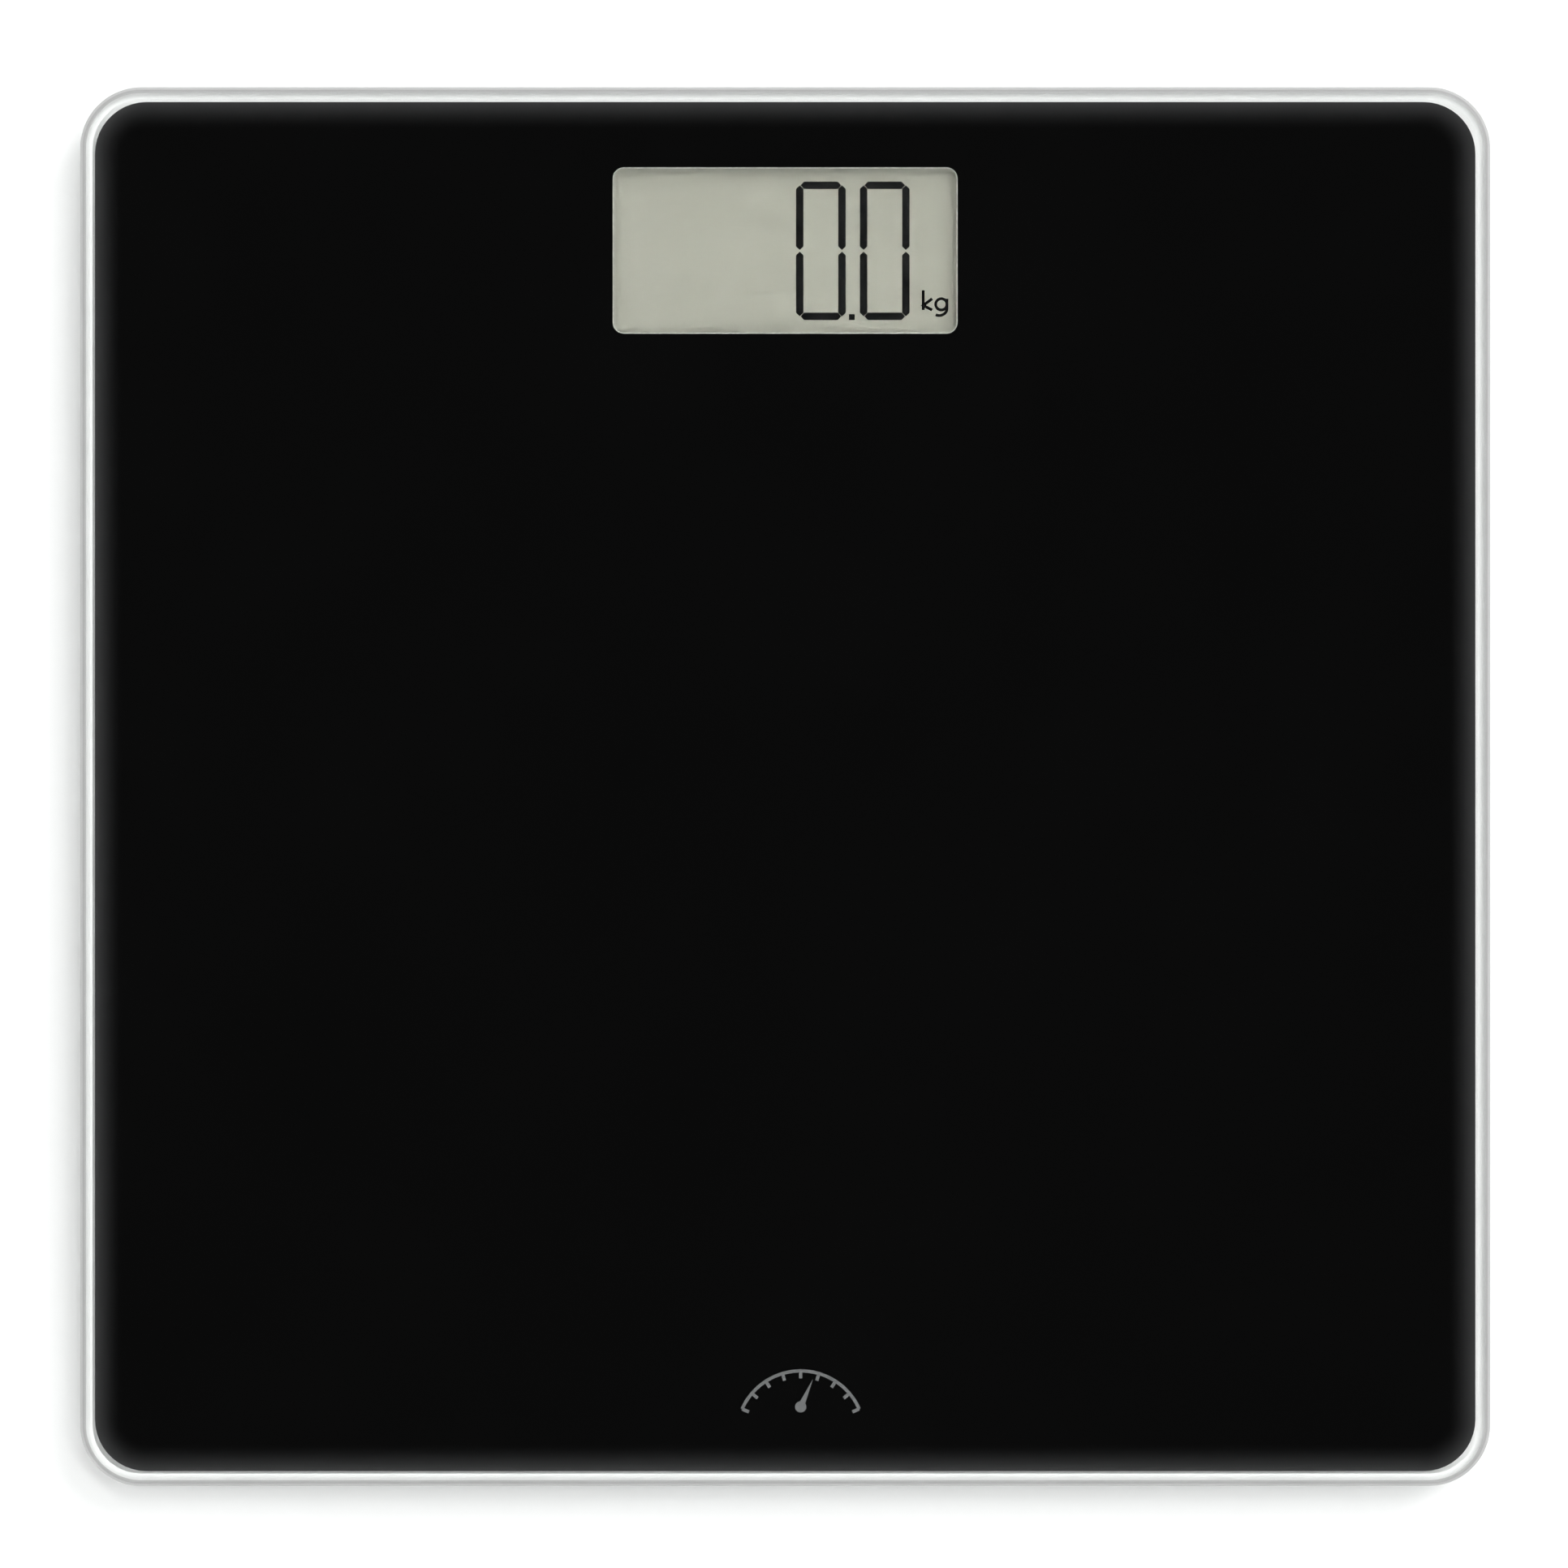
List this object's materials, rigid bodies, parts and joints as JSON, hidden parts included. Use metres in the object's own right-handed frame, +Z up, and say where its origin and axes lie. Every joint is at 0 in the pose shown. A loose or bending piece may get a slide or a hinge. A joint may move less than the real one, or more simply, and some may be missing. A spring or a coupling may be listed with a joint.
{
  "type": "digital bathroom scale",
  "caption": "Square glass digital bathroom scale with a black back print, a display under the glass and load-cell feet.",
  "frame": {"origin": "on the floor, under the middle of the platform", "axes": "+Z up, +Y to the display end, +X to the right of a person who faces the display"},
  "size_m": [0.3, 0.2976, 0.023],
  "materials": {
    "platform_glass": "clear tempered glass with a ground edge",
    "black_print": "black screen print under the glass",
    "mark_print": "grey screen print",
    "foam_tape": "black foam tape",
    "gasket_foam": "light grey foam",
    "holder_abs": "off-white ABS",
    "housing_abs": "charcoal ABS, fine texture",
    "lcd_film": "satin polarizer film",
    "lcd_glass": "clear thin glass",
    "lcd_black": "dark lit segments",
    "lcd_backing": "grey-green reflector film",
    "zebra": "layered conductive rubber",
    "board_green": "green solder mask",
    "epoxy": "black epoxy",
    "component": "chip parts",
    "steel": "zinc plated steel",
    "cell_can": "nickel plated can",
    "contact": "nickel plated spring brass",
    "button_rubber": "grey moulded cap",
    "switch": "black switch body",
    "cell_steel": "stamped zinc plated steel",
    "potting": "white silicone",
    "pad_rubber": "soft black rubber",
    "lead": "coloured lead insulation"
  },
  "bodies": {
    "platform": {"battery": "cell_can", "battery_contact_negative": "contact", "battery_contact_positive": "contact", "board_components": "component", "board_screws": "steel", "controller_blob": "epoxy", "cover_screws": "steel", "display_housing": "housing_abs", "display_tape": "foam_tape", "foot_housing_back_left": "housing_abs", "foot_housing_back_right": "housing_abs", "foot_housing_front_left": "housing_abs", "foot_housing_front_right": "housing_abs", "foot_tape": "foam_tape", "gauge_potting_back_left": "potting", "gauge_potting_back_right": "potting", "gauge_potting_front_left": "potting", "gauge_potting_front_right": "potting", "glass_platform": "platform_glass", "lcd_digits": "lcd_black", "lcd_front_glass": "lcd_glass", "lcd_holder": "holder_abs", "lcd_polarizer": "lcd_film", "lcd_rear_glass": "lcd_glass", "lcd_reflector": "lcd_backing", "lead_cover_left": "housing_abs", "lead_cover_right": "housing_abs", "load_cell_back_left": "cell_steel", "load_cell_back_right": "cell_steel", "load_cell_front_left": "cell_steel", "load_cell_front_right": "cell_steel", "main_board": "board_green", "platform_mark": "mark_print", "platform_print": "black_print", "rear_cover": "housing_abs", "sensor_lead_back_left": "lead", "sensor_lead_back_right": "lead", "sensor_lead_front_left": "lead", "sensor_lead_front_right": "lead", "unit_switch": "switch", "window_gasket": "gasket_foam", "zebra_strips": "zebra"},
    "foot_front_left_body": {"foot_front_left": "housing_abs", "foot_pad_front_left": "pad_rubber"},
    "foot_front_right_body": {"foot_front_right": "housing_abs", "foot_pad_front_right": "pad_rubber"},
    "foot_back_left_body": {"foot_back_left": "housing_abs", "foot_pad_back_left": "pad_rubber"},
    "foot_back_right_body": {"foot_back_right": "housing_abs", "foot_pad_back_right": "pad_rubber"},
    "unit_button_body": {"unit_button": "button_rubber", "unit_switch_plunger": "button_rubber"},
    "battery_door_body": {"battery_door": "housing_abs"}
  },
  "joints": [
    {"name": "foot_front_left_travel", "type": "slide", "parent": "platform", "child": "foot_front_left_body", "axis": [0, 0, 1], "range_m": [-0.0006, 0]},
    {"name": "foot_front_right_travel", "type": "slide", "parent": "platform", "child": "foot_front_right_body", "axis": [0, 0, 1], "range_m": [-0.0006, 0]},
    {"name": "foot_back_left_travel", "type": "slide", "parent": "platform", "child": "foot_back_left_body", "axis": [0, 0, 1], "range_m": [-0.0006, 0]},
    {"name": "foot_back_right_travel", "type": "slide", "parent": "platform", "child": "foot_back_right_body", "axis": [0, 0, 1], "range_m": [-0.0006, 0]},
    {"name": "unit_button_press", "type": "slide", "parent": "platform", "child": "unit_button_body", "axis": [0, 0, 1], "range_m": [0, 0.0005], "stiffness_N_per_m": 3000},
    {"name": "battery_door_hinge", "type": "hinge", "parent": "platform", "child": "battery_door_body", "pos_m": [-0.028, 0.1021, 0.0036], "axis": [-1, 0, 0], "range_deg": [0, 80]}
  ]
}
